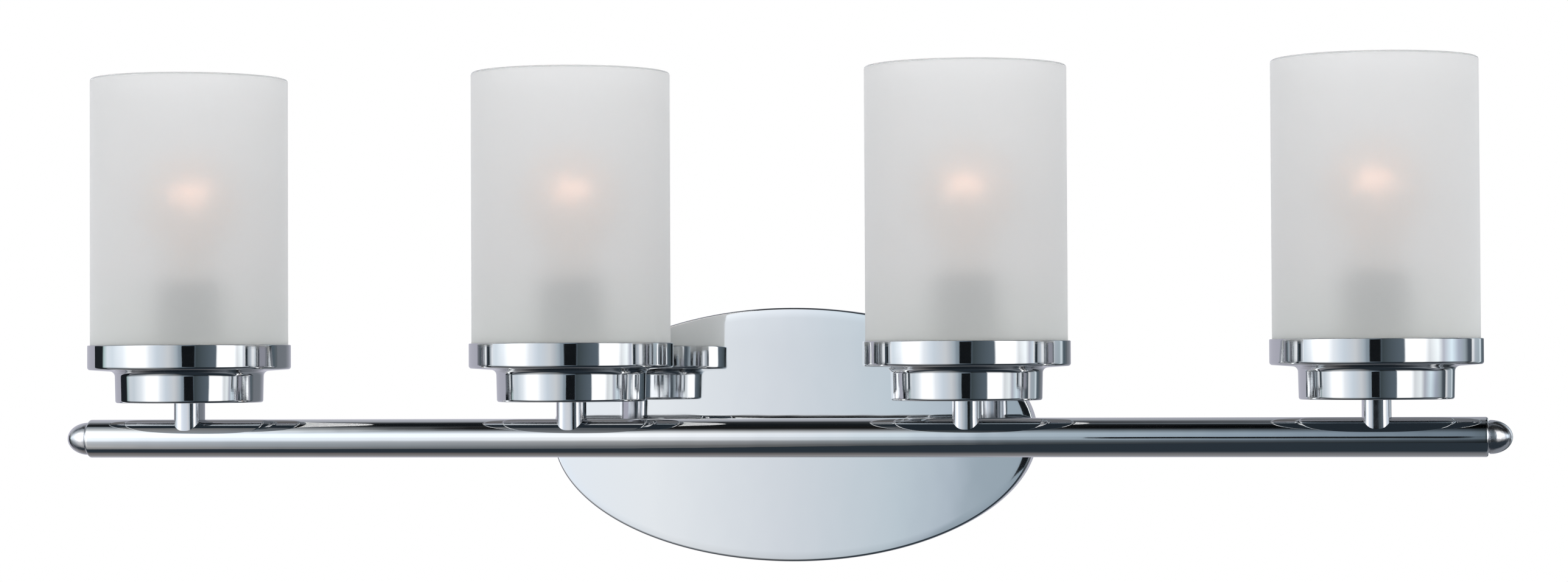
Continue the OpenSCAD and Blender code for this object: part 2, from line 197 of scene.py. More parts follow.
def lathe(name, outline, at, materials, axis=UP, steps=96, warp=None, paint=None, sharp=32):
    """A solid turned from a closed (radius, height) outline about an axis through a point.

    warp(angle, radius, height) gives a new radius; paint(radius, height) gives a face's material."""
    turn = Vector(UP).rotation_difference(Vector(axis)).to_matrix()
    at = Vector(at)
    vertices = []
    rows = []
    for radius, height in outline:
        start = len(vertices)
        if radius < 1e-7:
            rows.append([start] * steps)
            vertices.append(at + turn @ Vector((0, 0, height)))
            continue
        rows.append(list(range(start, start + steps)))
        for k in range(steps):
            angle = TAU * k / steps
            reach = warp(angle, radius, height) if warp else radius
            flat = Vector((reach * math.cos(angle), reach * math.sin(angle), height))
            vertices.append(at + turn @ flat)
    faces = []
    colours = []
    for j, row in enumerate(rows):
        following = rows[(j + 1) % len(rows)]
        (r0, h0), (r1, h1) = outline[j], outline[(j + 1) % len(outline)]
        colour = paint((r0 + r1) / 2, (h0 + h1) / 2) if paint else 0
        for k in range(steps):
            right = (k + 1) % steps
            corners = list(dict.fromkeys((row[k], row[right], following[right], following[k])))
            if len(corners) > 2:
                faces.append(corners)
                colours.append(colour)
    return solid(name, vertices, faces, materials, colours, sharp)


def thread(low, high, pitch, depth, outer):
    """A warp that cuts a screw thread into the outer wall between two heights."""
    def cut(angle, radius, height):
        if radius < outer or not low <= height <= high:
            return radius
        fade = min(1, (height - low) / pitch, (high - height) / pitch)
        wave = 0.5 + 0.5 * math.cos(TAU * height / pitch - angle)
        return radius - depth * fade * (1 - wave)
    return cut


def hexagon(flat, low, high, chamfer):
    """A warp that turns a round blank into a hexagon with chamfered ends between two heights."""
    def cut(angle, radius, height):
        if not low <= height <= high or radius < flat * 0.8:
            return radius
        side = (angle + math.pi / 6) % (math.pi / 3) - math.pi / 6
        corner = flat / math.cos(math.pi / 6)
        limit = corner - chamfer * (1 - min(1, (height - low) / chamfer, (high - height) / chamfer))
        return min(flat / math.cos(side), limit)
    return cut


def drill(piece, holes):
    """Cuts round holes, each given as a point, a direction, a radius and a length."""
    for at, axis, radius, length in holes:
        cutter = lathe("cutter", [(0, 0), (radius, 0), (radius, length), (0, length)], at, (), axis, 48)
        cut = piece.modifiers.new("hole", "BOOLEAN")
        cut.object = cutter
        cut.operation = "DIFFERENCE"
        cut.solver = "EXACT"
        bpy.context.view_layer.update()
        whole = piece.evaluated_get(bpy.context.evaluated_depsgraph_get())
        mesh = bpy.data.meshes.new_from_object(whole)
        piece.modifiers.clear()
        piece.data = mesh
        bpy.data.objects.remove(cutter)
    piece.data.set_sharp_from_angle(angle=math.radians(32))
    return piece


def wire(name, routes, radius, material):
    """Round wires along smooth routes, as one curve object."""
    data = bpy.data.curves.new(name, "CURVE")
    data.dimensions = "3D"
    data.bevel_depth = radius
    data.bevel_resolution = 4
    data.resolution_u = 8
    data.use_fill_caps = True
    data.materials.append(material)
    for route in routes:
        spline = data.splines.new("BEZIER")
        spline.bezier_points.add(len(route) - 1)
        for point, here in zip(spline.bezier_points, route):
            point.co = here
            point.handle_left_type = "AUTO"
            point.handle_right_type = "AUTO"
    return linked(name, data)


def place(piece, body, slot, *nodes):
    """Rides a piece on its body and hides the CAD nodes it stands for; slot is not used."""
    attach(piece, body)
    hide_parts(*nodes)
    return piece


# ---- Materials ----

def mix(tree, share, first, second):
    """Mixes two colours, either of which may be an output, in anything that has nodes and links."""
    made = tree.nodes.new("ShaderNodeMix")
    made.data_type = "RGBA"
    factor = next(s for s in made.inputs if s.name == "Factor" and s.type == "VALUE")
    colours = [s for s in made.inputs if s.name in "AB" and s.type == "RGBA"]
    tree.links.new(share, factor)
    for socket, value in zip(colours, (first, second)):
        if hasattr(value, "is_output"):
            tree.links.new(value, socket)
        else:
            socket.default_value = (*value, 1)
    return next(s for s in made.outputs if s.type == "RGBA")


class Shader:
    """A material with one Principled shader and whatever feeds it."""

    def __init__(self, name, **settings):
        self.material = bpy.data.materials.new(name)
        self.material.use_nodes = True
        self.nodes = self.material.node_tree.nodes
        self.links = self.material.node_tree.links
        self.surface = self.nodes["Principled BSDF"]
        self.coords = self.nodes.new("ShaderNodeTexCoord").outputs["Object"]
        for socket, value in settings.items():
            self.surface.inputs[socket.replace("_", " ")].default_value = value

    def add(self, kind, settings=(), **sockets):
        made = self.nodes.new(kind)
        for key, value in dict(settings).items():
            setattr(made, key, value)
        for socket, value in sockets.items():
            target = made.inputs[socket.replace("_", " ")]
            if hasattr(value, "is_output"):
                self.links.new(value, target)
            else:
                target.default_value = value
        return made

    def noise(self, scale, detail=3, stretch=(1, 1, 1), roughness=0.5):
        """Noise over the object's own coordinates, with a scale in cells per metre."""
        spread = self.add("ShaderNodeMapping", Vector=self.coords, Scale=stretch)
        made = self.add("ShaderNodeTexNoise", Vector=spread.outputs[0], Scale=scale, Detail=detail,
                        Roughness=roughness)
        return made.outputs["Fac"]

    def height(self, low, high):
        """0 at one height of the object and 1 at another."""
        split = self.add("ShaderNodeSeparateXYZ", Vector=self.coords)
        return self.span(split.outputs["Z"], 0, 1, low, high)

    def span(self, value, low, high, from_low=0.3, from_high=0.7):
        made = self.add("ShaderNodeMapRange", Value=value)
        numbers = {"From Min": from_low, "From Max": from_high, "To Min": low, "To Max": high}
        for key, number in numbers.items():
            made.inputs[key].default_value = number
        return made.outputs["Result"]

    def feed(self, socket, value):
        self.links.new(value, self.surface.inputs[socket])
        return self

    def bump(self, height, distance, over=None):
        made = self.add("ShaderNodeBump", Height=height, Distance=distance)
        if over is not None:
            self.links.new(over, made.inputs["Normal"])
        self.links.new(made.outputs["Normal"], self.surface.inputs["Normal"])
        return made.outputs["Normal"]

    def tint(self, value, first, second, low=0.35, high=0.65):
        """A colour that runs from first to second as value goes from low to high."""
        ramp = self.add("ShaderNodeValToRGB", Fac=value)
        ramp.color_ramp.elements[0].position = low
        ramp.color_ramp.elements[0].color = (*first, 1)
        ramp.color_ramp.elements[1].position = high
        ramp.color_ramp.elements[1].color = (*second, 1)
        self.feed("Base Color", ramp.outputs["Color"])
        return self


def chrome(name, colour, rough=(0.02, 0.05), ripple=0.010 * MM, spun=0.0, grain=0.0):
    """Polished plating with a faint long ripple and a slight change of polish.

    spun is the depth of turning marks round the axis, and grain the depth of marks along it."""
    shader = Shader(name, Base_Color=(*colour, 1), Metallic=1.0)
    shader.feed("Roughness", shader.span(shader.noise(60, 4), *rough))
    surface = shader.bump(shader.noise(45, 1), ripple * 10)
    if spun:
        shader.bump(shader.noise(180, 3, stretch=(0.4, 0.4, 40)), spun, over=surface)
    if grain:
        shader.bump(shader.noise(900, 3, stretch=(1, 1, 0.05)), grain, over=surface)
    return shader.material


def cast_chrome():
    """Plating over a casting that was polished by hand."""
    shader = Shader("cast_chrome", Base_Color=(0.84, 0.84, 0.86, 1), Metallic=1.0)
    shader.feed("Roughness", shader.span(shader.noise(300, 4), 0.10, 0.22))
    shader.bump(shader.noise(700, 4), 0.05 * MM)
    return shader.material


def frosted_glass():
    """White glass, etched to a satin outside and whiter edge-on; greener at its foot, as thick glass is, with
    painted shade there.
    """
    shader = Shader("frosted_glass", Roughness=0.59, IOR=1.25, Specular_IOR_Level=0.25,
                    Transmission_Weight=0.60, Sheen_Weight=0.40, Sheen_Roughness=0.30)
    edge_on = shader.add("ShaderNodeLayerWeight", Blend=0.5).outputs["Facing"]
    shader.feed("Transmission Weight", shader.span(edge_on, 0.60, 0.20, 0, 1))
    # Painted shade: the colour is darker over the lowest 55 mm, where the cup and the dark inside shade the
    # glass; the green tint there is the glass's own.
    up = shader.height(SHADE_LOW, SHADE_LOW + 55 * MM)
    shader.tint(up, (0.925, 0.945, 0.93), (0.97, 0.97, 0.97), 0.0, 1.0)
    fine = shader.bump(shader.noise(2600, 3), 0.02 * MM)
    shader.bump(shader.noise(25, 2), 0.12 * MM, over=fine)
    return shader.material


def rim_glass():
    """The fire-polished edge of the shade, smoother than its wall."""
    shader = Shader("rim_glass", Roughness=0.25, IOR=1.25, Transmission_Weight=0.6)
    shader.tint(shader.noise(40, 2), (0.88, 0.89, 0.89), (0.94, 0.95, 0.95))
    return shader.material


def bulb_envelope():
    """Inside-frosted bulb glass, faintly lit from within."""
    shader = Shader("bulb_envelope", Roughness=0.3, IOR=1.45, Transmission_Weight=0.5, Emission_Strength=0.05)
    shader.surface.inputs["Emission Color"].default_value = (1.0, 0.86, 0.74, 1)
    shader.tint(shader.noise(60, 2), (0.93, 0.92, 0.90), (0.97, 0.96, 0.94))
    return shader.material


def hot_coil():
    shader = Shader("hot_coil", Roughness=0.5, Emission_Strength=22.0)
    shader.surface.inputs["Emission Color"].default_value = (1.0, 0.51, 0.33, 1)
    shader.tint(shader.noise(900, 2), (0.3, 0.28, 0.25), (0.4, 0.36, 0.3))
    return shader.material


def porcelain():
    """The lampholder's dark glaze."""
    shader = Shader("porcelain", Roughness=0.18, Coat_Weight=0.4)
    shader.tint(shader.noise(120, 3), (0.045, 0.050, 0.048), (0.065, 0.070, 0.066))
    shader.bump(shader.noise(200, 2), 0.05 * MM)
    return shader.material


def moulded(name, first, second, rough=0.42, grain=0.02 * MM):
    """Moulded plastic, resin or rubber with a fine grain."""
    shader = Shader(name)
    shader.tint(shader.noise(150, 3), first, second)
    shader.feed("Roughness", shader.span(shader.noise(400, 3), rough - 0.08, rough + 0.08))
    shader.bump(shader.noise(1800, 3), grain)
    return shader.material


def bare_metal(name, first, second, rough=0.30, grain=0.02 * MM):
    """Zinc plate, brass or aluminium as it comes off the machine."""
    shader = Shader(name, Metallic=1.0)
    shader.tint(shader.noise(220, 4), first, second)
    shader.feed("Roughness", shader.span(shader.noise(500, 4), rough - 0.10, rough + 0.12))
    shader.bump(shader.noise(900, 4, stretch=(0.2, 1, 1)), grain)
    return shader.material


CUP_CHROME = chrome("cup_chrome", colour=(0.66, 0.67, 0.68), spun=0.0025 * MM)
POST_CHROME = chrome("post_chrome", colour=(0.72, 0.72, 0.74), rough=(0.06, 0.14), grain=0.006 * MM)
BAR_CHROME = chrome("bar_chrome", colour=(0.93, 0.93, 0.93))
PLATE_CHROME = chrome("plate_chrome", colour=(0.93, 0.94, 0.95), ripple=0.004 * MM)
DOME_CHROME = cast_chrome()
GLASS = frosted_glass()
RIM = rim_glass()
BULB = bulb_envelope()
HOT_COIL = hot_coil()
PORCELAIN = porcelain()
RESIN = moulded("ring_resin", (0.76, 0.74, 0.68), (0.82, 0.80, 0.74), 0.35)
RUBBER = moulded("gasket_rubber", (0.015, 0.015, 0.015), (0.03, 0.03, 0.03), 0.6, 0.04 * MM)
BRASS = bare_metal("brass", (0.62, 0.46, 0.20), (0.72, 0.56, 0.28), 0.28)
ALUMINIUM = bare_metal("aluminium", (0.66, 0.66, 0.65), (0.74, 0.74, 0.73), 0.30)
ZINC = bare_metal("zinc", (0.48, 0.49, 0.50), (0.60, 0.61, 0.63), 0.34, 0.03 * MM)
NUT_STEEL = bare_metal("nut_steel", (0.52, 0.52, 0.50), (0.62, 0.62, 0.60), 0.26)
GREEN_SCREW = bare_metal("green_screw", (0.04, 0.22, 0.08), (0.07, 0.32, 0.12), 0.32)
BLACK_GLASS = moulded("insulator", (0.01, 0.01, 0.012), (0.02, 0.02, 0.022), 0.15, 0.0)
CLEAR_STEM = moulded("stem_glass", (0.75, 0.75, 0.75), (0.8, 0.8, 0.8), 0.15, 0.0)
BLACK_WIRE = moulded("black_wire", (0.02, 0.02, 0.02), (0.035, 0.035, 0.035), 0.40)
WHITE_WIRE = moulded("white_wire", (0.76, 0.76, 0.74), (0.82, 0.82, 0.80), 0.40)
GREEN_WIRE = moulded("green_wire", (0.05, 0.25, 0.08), (0.07, 0.32, 0.10), 0.40)
ORANGE = moulded("connector_orange", (0.75, 0.22, 0.03), (0.82, 0.28, 0.05), 0.45)


# ---- Lamps ----

SHADE_R = half_width("glass_shade_1")
SHADE_WALL = 3 * MM
SHADE_FLOOR = 4 * MM
SHADE_HOLE_R = 21 * MM
CUP_LOW, CUP_HIGH = heights("fitter_cup_1")
CUP_R = half_width("fitter_cup_1")
CUP_WALL = 1.1 * MM
DRUM_R = 42.8 * MM
DRUM_H = 18.2 * MM
POST_R = half_width("lamp_post_1")
POST_DEPTH = (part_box("lamp_post_1")[1].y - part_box("lamp_post_1")[0].y) / 2
POST_BORE_R = 5 * MM
NIPPLE_R = 4.85 * MM
SOCKET_LOW, SOCKET_HIGH = heights("socket_body_1")
SOCKET_R = half_width("socket_body_1")
SOCKET_WEB = CUP_LOW + 36 * MM
BULB_PITCH = 3.63 * MM


def glass_shade(i):
    inner = SHADE_R - SHADE_WALL
    outline = rounded(
        (SHADE_HOLE_R, SHADE_LOW, 0.8 * MM),
        (SHADE_R, SHADE_LOW, 3 * MM),
        (SHADE_R, SHADE_HIGH, 1.45 * MM),
        (inner, SHADE_HIGH, 1.45 * MM),
        (inner, SHADE_LOW + SHADE_FLOOR, 2 * MM),
        (SHADE_HOLE_R, SHADE_LOW + SHADE_FLOOR, 0.8 * MM), steps=8)

    def is_rim(radius, height):
        return int(height > SHADE_HIGH - 1.2 * MM)

    at = lamp_axis(i)
    shade = lathe(f"shade_{i}", guarded(outline), at, (GLASS, RIM), steps=160, paint=is_rim)
    place(shade, f"shade_{i}", "frosted_glass", f"glass_shade_{i}")


def shade_gasket(i):
    low, high = heights(f"shade_gasket_{i}")
    outer = half_width(f"shade_gasket_{i}")
    inner = 47.8 * MM
    slope = 0.6 * MM
    outline = rounded((inner, low, 0.4 * MM), (outer, low + slope, 0.4 * MM),
                      (outer, high, 0.5 * MM), (inner, high, 0.5 * MM))
    gasket = lathe(f"gasket_{i}", outline, lamp_axis(i), (RUBBER,))
    place(gasket, "fixture", "gasket_rubber", f"shade_gasket_{i}")


def fitter_cup(i):
    """Two-step spun cup: small drum, hollow neck, slightly sloping underside and a straight band."""
    step = CUP_LOW + DRUM_H
    rise = 1.1 * MM
    draft = 0.2 * MM
    band_inner = CUP_R - CUP_WALL
    drum_top = DRUM_R + draft
    outline = rounded(
        (NIPPLE_R, CUP_LOW, 0),
        (DRUM_R - draft, CUP_LOW, 1.3 * MM),
        (drum_top, step, 3 * MM),
        (CUP_R, step + rise, 1.6 * MM),
        (CUP_R, CUP_HIGH, 0.5 * MM),
        (band_inner, CUP_HIGH, 0.3 * MM),
        (band_inner, step + rise + CUP_WALL, 0.6 * MM),
        (drum_top - CUP_WALL, step + CUP_WALL, 4 * MM),
        (DRUM_R - CUP_WALL, CUP_LOW + CUP_WALL, 0.6 * MM),
        (NIPPLE_R, CUP_LOW + CUP_WALL, 0), steps=8)
    cup = lathe(f"cup_{i}", guarded(outline), lamp_axis(i), (CUP_CHROME,), steps=192)
    place(cup, "fixture", "chrome", f"fitter_cup_{i}")


def saddle_tube(name, foot, axis, reach, material, depth, square=2.0, collar=None):
    """A tube whose end is cut to sit on the bar.

    foot is the crossing of the two axes, axis points from the bar along the tube and reach is the tube's
    far end. depth is the tube's half width across the bar, and square runs from 2 for a round section to more
    for flatter sides. collar is an optional (radius, thickness) flange at the far end."""
    steps = 96
    turn = Vector(UP).rotation_difference(Vector(axis)).to_matrix()

    def section(wide, deep, power):
        for k in range(steps):
            c, s = math.cos(TAU * k / steps), math.sin(TAU * k / steps)
            yield tuple(half * math.copysign(abs(v) ** (2 / power), v) for half, v in ((wide, c), (deep, s)))

    def ring(grow, height):
        return [Vector((x, y, height)) for x, y in section(POST_R + grow, depth + grow, square)]

    def on_bar(*shape):
        return [Vector((x, y, math.sqrt(BAR_R ** 2 - y ** 2))) for x, y in section(*shape)]

    rows = [on_bar(POST_R, depth, square), ring(0, BAR_R + 0.5 * MM)]
    if collar:
        radius, thick = collar
        grow = radius - POST_R
        rows += [ring(0, reach - thick - 0.8 * MM), ring(0.25 * MM, reach - thick - 0.2 * MM),
                 ring(0.8 * MM, reach - thick)]
        rows += [ring(r, h) for r, h in arc((grow - 1 * MM, reach - thick + 1 * MM), 1 * MM, -90, 0, 6)]
        rows += [ring(grow, reach - 0.2 * MM), ring(grow - 0.2 * MM, reach)]
    else:
        rows += [ring(0, reach - 0.4 * MM), ring(-0.3 * MM, reach)]
    bore = (POST_BORE_R, POST_BORE_R, 2)
    rows += [[Vector((x, y, reach)) for x, y in section(*bore)], on_bar(*bore)]
    vertices = [Vector(foot) + turn @ v for row in rows for v in row]
    faces = []
    for j in range(len(rows)):
        faces += skirt(j * steps, (j + 1) % len(rows) * steps, steps)
    return solid(name, vertices, faces, (material,))


def lamp_post(i):
    reach = CUP_LOW - BAR_AXIS.z
    post = saddle_tube(f"post_{i}", lamp_foot(i), UP, reach, POST_CHROME, POST_DEPTH, square=3.0)
    place(post, "fixture", "chrome", f"lamp_post_{i}")


def socket_body(i):
    """Screw lampholder: hub, threaded skirt and an open cavity."""
    cavity_r = 14.6 * MM
    bore_top = SOCKET_LOW + 8 * MM
    thread_low = SHADE_LOW + 1 * MM
    thread_high = thread_low + 22.5 * MM
    top = arc((SOCKET_R - 2 * MM, SOCKET_HIGH - 2 * MM), 2 * MM, 0, 90, 6)
    outline = [(NIPPLE_R, SOCKET_LOW), (11 * MM, SOCKET_LOW), (11 * MM, SOCKET_LOW + 6 * MM),
               (SOCKET_R - 3 * MM, SOCKET_LOW + 11 * MM), (SOCKET_R, thread_low)]
    outline += climb(SOCKET_R, thread_low + 0.2 * MM, thread_high, 63) + top
    outline += [(cavity_r + 0.8 * MM, SOCKET_HIGH), (cavity_r, SOCKET_HIGH - 0.8 * MM)]
    outline += [(cavity_r, SOCKET_WEB), (0, SOCKET_WEB), (0, bore_top), (NIPPLE_R, bore_top)]
    cut = thread(thread_low, thread_high, 2.5 * MM, 0.5 * MM, SOCKET_R - 0.01 * MM)
    body = lathe(f"socket_{i}", outline, lamp_axis(i), (PORCELAIN,), warp=cut)
    place(body, "fixture", "porcelain", f"socket_body_{i}")


def socket_contacts(i):
    """The screw shell, with a rolled thread, and the centre contact's sprung leaf."""
    low, high = heights(f"socket_contacts_{i}")
    shell_low = low + 5 * MM
    outer = half_width(f"socket_contacts_{i}")
    inner = outer - 0.5 * MM
    walls = climb(outer, shell_low, high, 48) + climb(inner, shell_low, high, 48)[::-1]

    def roll(angle, radius, height):
        return radius - 0.35 * MM * (0.5 - 0.5 * math.cos(TAU * height / BULB_PITCH - angle))

    shell = lathe(f"screw_shell_{i}", walls, lamp_axis(i), (BRASS,), steps=64, warp=roll, sharp=50)
    place(shell, "fixture", "contact_brass", f"socket_contacts_{i}")
    leaf_r = 4.5 * MM
    leaf = rounded((0, low, 0), (leaf_r, low, 0.3 * MM), (leaf_r - 0.8 * MM, low + 3 * MM, 0.8 * MM),
                   (0, low + 3.4 * MM, 0))
    contact = lathe(f"centre_contact_{i}", leaf, lamp_axis(i), (BRASS,), steps=40)
    place(contact, "fixture", "contact_brass", f"socket_contacts_{i}")


def retaining_ring(i):
    low, high = heights(f"retaining_ring_{i}")
    flange_r = half_width(f"retaining_ring_{i}")
    hub_r = 24 * MM
    flange_top = low + 2.5 * MM
    bore = SOCKET_R + 0.05 * MM
    outline = rounded((bore, low, 0.3 * MM), (flange_r, low, 0.5 * MM), (flange_r, flange_top, 0.8 * MM),
                      (hub_r, flange_top, 0.5 * MM), (hub_r, high, 0.9 * MM), (bore, high, 0.5 * MM), steps=5)
    grips = 12

    def scallop(angle, radius, height):
        if radius < hub_r - 1.2 * MM or height < flange_top + 0.6 * MM:
            return radius
        return radius - 1.3 * MM * max(0, math.cos(grips * angle)) ** 6

    ring = lathe(f"ring_{i}", guarded(outline), lamp_axis(i), (RESIN,), steps=144, warp=scallop)
    place(ring, f"ring_{i}", "ring_resin", f"retaining_ring_{i}")


def bulb_glass(i):
    low, high = heights(f"bulb_glass_{i}")
    radius = half_width(f"bulb_glass_{i}")
    neck = 13.4 * MM
    wall = 0.8 * MM
    centre = high - radius
    start = math.radians(-38)

    def side(inset):
        r = radius - inset
        shoulder = (r * math.cos(start), centre + r * math.sin(start))
        lower = (shoulder[0] + 14 * MM * math.sin(start), shoulder[1] - 14 * MM * math.cos(start))
        foot = bezier((neck - inset, low), (neck - inset, low + 14 * MM), lower, shoulder, 18)
        return foot + arc((0, centre), r, -38, 90, 28)[1:]

    outer = side(0)[:-1] + [(0, high)]
    inner = side(wall)[:-1] + [(0, high - wall)]
    bulb = lathe(f"bulb_{i}", outer + inner[::-1], lamp_axis(i), (BULB,), steps=96)
    place(bulb, f"bulb_{i}", "bulb_glass", f"bulb_glass_{i}")


def bulb_base(i):
    """Aluminium screw cap with a rolled thread, a black insulator and a soldered tip."""
    low, high = heights(f"bulb_base_{i}")
    cap_r = 13.15 * MM
    thread_low = low + 6 * MM
    thread_high = thread_low + 21 * MM
    outline = [(0, low), (3 * MM, low), (4.2 * MM, low + 0.5 * MM), (4.6 * MM, low + 1.6 * MM),
               (5.2 * MM, low + 1.9 * MM), (10 * MM, low + 4.6 * MM), (10.6 * MM, low + 5 * MM),
               (12.3 * MM, low + 5.7 * MM)]
    outline += climb(cap_r, thread_low, thread_high, 60)
    outline += [(13.3 * MM, thread_high + 0.5 * MM), (13.4 * MM, high - 0.3 * MM), (13.3 * MM, high),
                (0, high)]
    cut = thread(thread_low, thread_high, BULB_PITCH, 0.9 * MM, cap_r - 0.01 * MM)

    def part(radius, height):
        return int(low + 1.7 * MM < height < low + 4.9 * MM and radius < 10.5 * MM)

    base = lathe(f"bulb_cap_{i}", outline, lamp_axis(i), (ALUMINIUM, BLACK_GLASS), steps=72,
                 warp=cut, paint=part)
    place(base, f"bulb_{i}", "cap_aluminium", f"bulb_base_{i}")


def filament_mount(i):
    """Glass stem with two support wires and a coiled filament between their tips."""
    low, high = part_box(f"filament_mount_{i}")
    axis = lamp_foot(i)
    reach = (high.x - low.x) / 2 - 1 * MM
    height = high.z - 0.8 * MM
    stem_top = low.z + 20 * MM
    outline = rounded((0, low.z, 0), (5 * MM, low.z, 0.5 * MM), (4.2 * MM, stem_top - 4 * MM, 2 * MM),
                      (2.2 * MM, stem_top, 0.8 * MM), (0, stem_top, 0))
    stem = lathe(f"stem_{i}", outline, (*axis.xy, 0), (CLEAR_STEM,), steps=40)
    place(stem, f"bulb_{i}", "filament_metal", f"filament_mount_{i}")
    turns = 16
    coil_r = 1.5 * MM
    coil = [(axis.x - reach + 2 * reach * k / (8 * turns), axis.y + coil_r * math.cos(k * TAU / 8),
             height + coil_r * math.sin(k * TAU / 8)) for k in range(8 * turns + 1)]
    bends = ((1.6 * MM, stem_top - 3 * MM), (4 * MM, stem_top + 9 * MM), (reach, height))
    posts = [[(axis.x + side * out, axis.y, z) for out, z in bends] for side in (-1, 1)]
    supports = wire(f"filament_supports_{i}", posts, 0.3 * MM, NUT_STEEL)
    place(supports, f"bulb_{i}", "filament_metal", f"filament_mount_{i}")
    hot = wire(f"filament_{i}", [coil], 0.4 * MM, HOT_COIL)
    place(hot, f"bulb_{i}", "filament_metal", f"filament_mount_{i}")


# ---- Bar, arms and fasteners ----

def bar_tube():
    """The bar, drilled on top for each post and behind for the two arms."""
    wall = 1.2 * MM
    inner = BAR_R - wall
    near = 8.2 * MM
    crossings = [lamp_foot(i).x for i in LAMPS] + [middle(f"arm_{side}").x for side in SIDES]
    stops = sorted(x + side * near for x in crossings for side in (-1, 1))
    ends = rounded((BAR_R, -BAR_HALF, 1.1 * MM), (BAR_R, BAR_HALF, 1.1 * MM),
                   (inner, BAR_HALF, 0.3 * MM), (inner, -BAR_HALF, 0.3 * MM), steps=6)
    top = [p for p in ends if p[0] > inner + 0.31 * MM]
    outline = [p for p in top if p[1] < 0] + [(BAR_R, -BAR_HALF + 2 * MM)] + [(BAR_R, x) for x in stops]
    outline += [(BAR_R, BAR_HALF - 2 * MM)] + [p for p in top if p[1] > 0]
    outline += [(inner, BAR_HALF)] + [(inner, x) for x in reversed(stops)] + [(inner, -BAR_HALF)]
    bar = lathe("bar", outline, (0, BAR_AXIS.y, BAR_AXIS.z), (BAR_CHROME,), axis=(1, 0, 0), steps=160)
    holes = [(lamp_foot(i), UP, POST_BORE_R, BAR_R + 1 * MM) for i in LAMPS]
    holes += [((middle(f"arm_{side}").x, BAR_AXIS.y, BAR_AXIS.z), INTO_WALL, POST_BORE_R, BAR_R + 1 * MM)
              for side in SIDES]
    drill(bar, holes)
    place(bar, "fixture", "chrome", "bar_tube")


def end_cap(side):
    """Bullet-shaped cast end: a spigot in the tube, a thin groove and a long dome."""
    sign = SIDES[side]
    low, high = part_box(f"end_cap_{side}")
    dome_len = (high.x if sign > 0 else -low.x) - BAR_HALF
    spigot_r = BAR_R - 1.25 * MM
    outline = [(0, -9 * MM), (spigot_r - 0.6 * MM, -9 * MM), (spigot_r, -8.4 * MM), (spigot_r, -0.1 * MM)]
    outline += [(8.9 * MM, 0.1 * MM), (8.85 * MM, 0.5 * MM), (9.1 * MM, 0.75 * MM), (9.4 * MM, 0.9 * MM)]
    outline += dome(9.45 * MM, 1.1 * MM, dome_len, 6, 3)

    def hand_polished(angle, radius, height):
        if height <= 1 * MM:
            return radius
        where = Vector((radius * math.cos(angle), radius * math.sin(angle), height)) * 160
        return radius * (1 + 0.010 * noise.noise(where + Vector((sign * 9, 0, 0))))

    cap = lathe(f"dome_{side}", outline, (sign * BAR_HALF, BAR_AXIS.y, BAR_AXIS.z), (DOME_CHROME,),
                axis=(sign, 0, 0), steps=96, warp=hand_polished, sharp=40)
    place(cap, "fixture", "dome_chrome", f"end_cap_{side}")


CANOPY_LOW, CANOPY_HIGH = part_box("canopy")
CANOPY_DEPTH = CANOPY_HIGH.y - CANOPY_LOW.y
CANOPY_SHEET = 1.2 * MM


def arm(side):
    foot = (middle(f"arm_{side}").x, BAR_AXIS.y, BAR_AXIS.z)
    reach = CANOPY_LOW.y - BAR_AXIS.y
    collar = (10 * MM, 4 * MM)
    made = saddle_tube(f"arm_tube_{side}", foot, INTO_WALL, reach, CUP_CHROME, POST_R, collar=collar)
    place(made, "fixture", "chrome", f"arm_{side}")


def nipple(at, axis, length, name):
    low, high = 0.4 * MM, length - 0.4 * MM
    outline = [(3.2 * MM, 0), (NIPPLE_R - 0.5 * MM, 0)] + climb(NIPPLE_R, low, high, round(length / MM * 2.4))
    outline += [(NIPPLE_R - 0.5 * MM, length), (3.2 * MM, length)]
    cut = thread(low, high, 1.4 * MM, 0.45 * MM, NIPPLE_R - 0.01 * MM)
    return lathe(name, outline, at, (BRASS,), axis=axis, steps=36, warp=cut)


def lock_nut(at, axis, name):
    thick = 4 * MM
    flat = 7 * MM
    rows = climb(flat, 0, thick, 8)
    outline = [(4.9 * MM, 0)] + rows + [(4.9 * MM, thick)]
    return lathe(name, outline, at, (NUT_STEEL,), axis=axis, steps=96, warp=hexagon(flat, 0, thick, 0.7 * MM))


def nipples_and_nuts():
    cup_floor = CUP_LOW + CUP_WALL
    for i in LAMPS:
        foot = lamp_foot(i)
        bottom = BAR_R - 1 * MM
        piece = nipple((*foot.xy, bottom), UP, SOCKET_LOW + 8 * MM - bottom, f"nipple_{i}")
        place(piece, "fixture", "nipple_brass", "threaded_nipples")
        place(lock_nut((*foot.xy, cup_floor), UP, f"nipple_nut_{i}"), "fixture", "nut_steel", "lock_nuts")
    for side in SIDES:
        x = middle(f"arm_{side}").x
        inner_face = CANOPY_LOW.y + CANOPY_SHEET
        piece = nipple((x, -36 * MM, BAR_AXIS.z), INTO_WALL, 23 * MM, f"arm_nipple_{side}")
        place(piece, "fixture", "nipple_brass", "threaded_nipples")
        nut = lock_nut((x, inner_face, BAR_AXIS.z), INTO_WALL, f"arm_nut_{side}")
        place(nut, "fixture", "nut_steel", "lock_nuts")


# ---- Backplate and mounting ----

